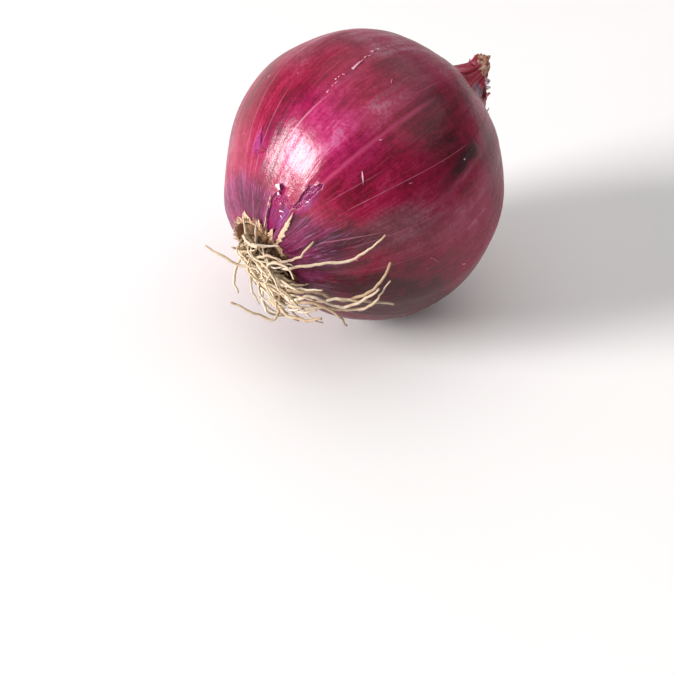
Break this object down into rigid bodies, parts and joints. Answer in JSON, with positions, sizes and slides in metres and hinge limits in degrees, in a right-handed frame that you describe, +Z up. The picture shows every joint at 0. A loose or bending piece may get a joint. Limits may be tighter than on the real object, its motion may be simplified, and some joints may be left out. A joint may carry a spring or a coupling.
{
  "type": "red onion",
  "caption": "Red onion lying on its side, with a torn papery skin, a tuft of dried roots and a dry torn neck.",
  "frame": {"origin": "middle of the small flat spot on the bulb's underside that the onion rests on", "axes": "+Z up; +X from the root end to the neck end as seen from above; the bulb's own axis rises 16 degrees towards the neck"},
  "size_m": [0.096, 0.0802, 0.0797],
  "materials": {
    "bulb_skin": "thin papery scale skin, satin gloss, crimson to violet with fine lengthwise streaks",
    "root_fibre": "dried straw-coloured roots, matt, darker in the corky plate",
    "dry_collar": "brittle tan skin round the root plate, matt, torn edge",
    "neck_leaf": "dried leaf bases, tan and mottled, matt"
  },
  "bodies": {
    "root": {"bulb": "bulb_skin", "roots": "root_fibre", "root_collar": "dry_collar", "neck_leaves": "neck_leaf"}
  },
  "joints": []
}
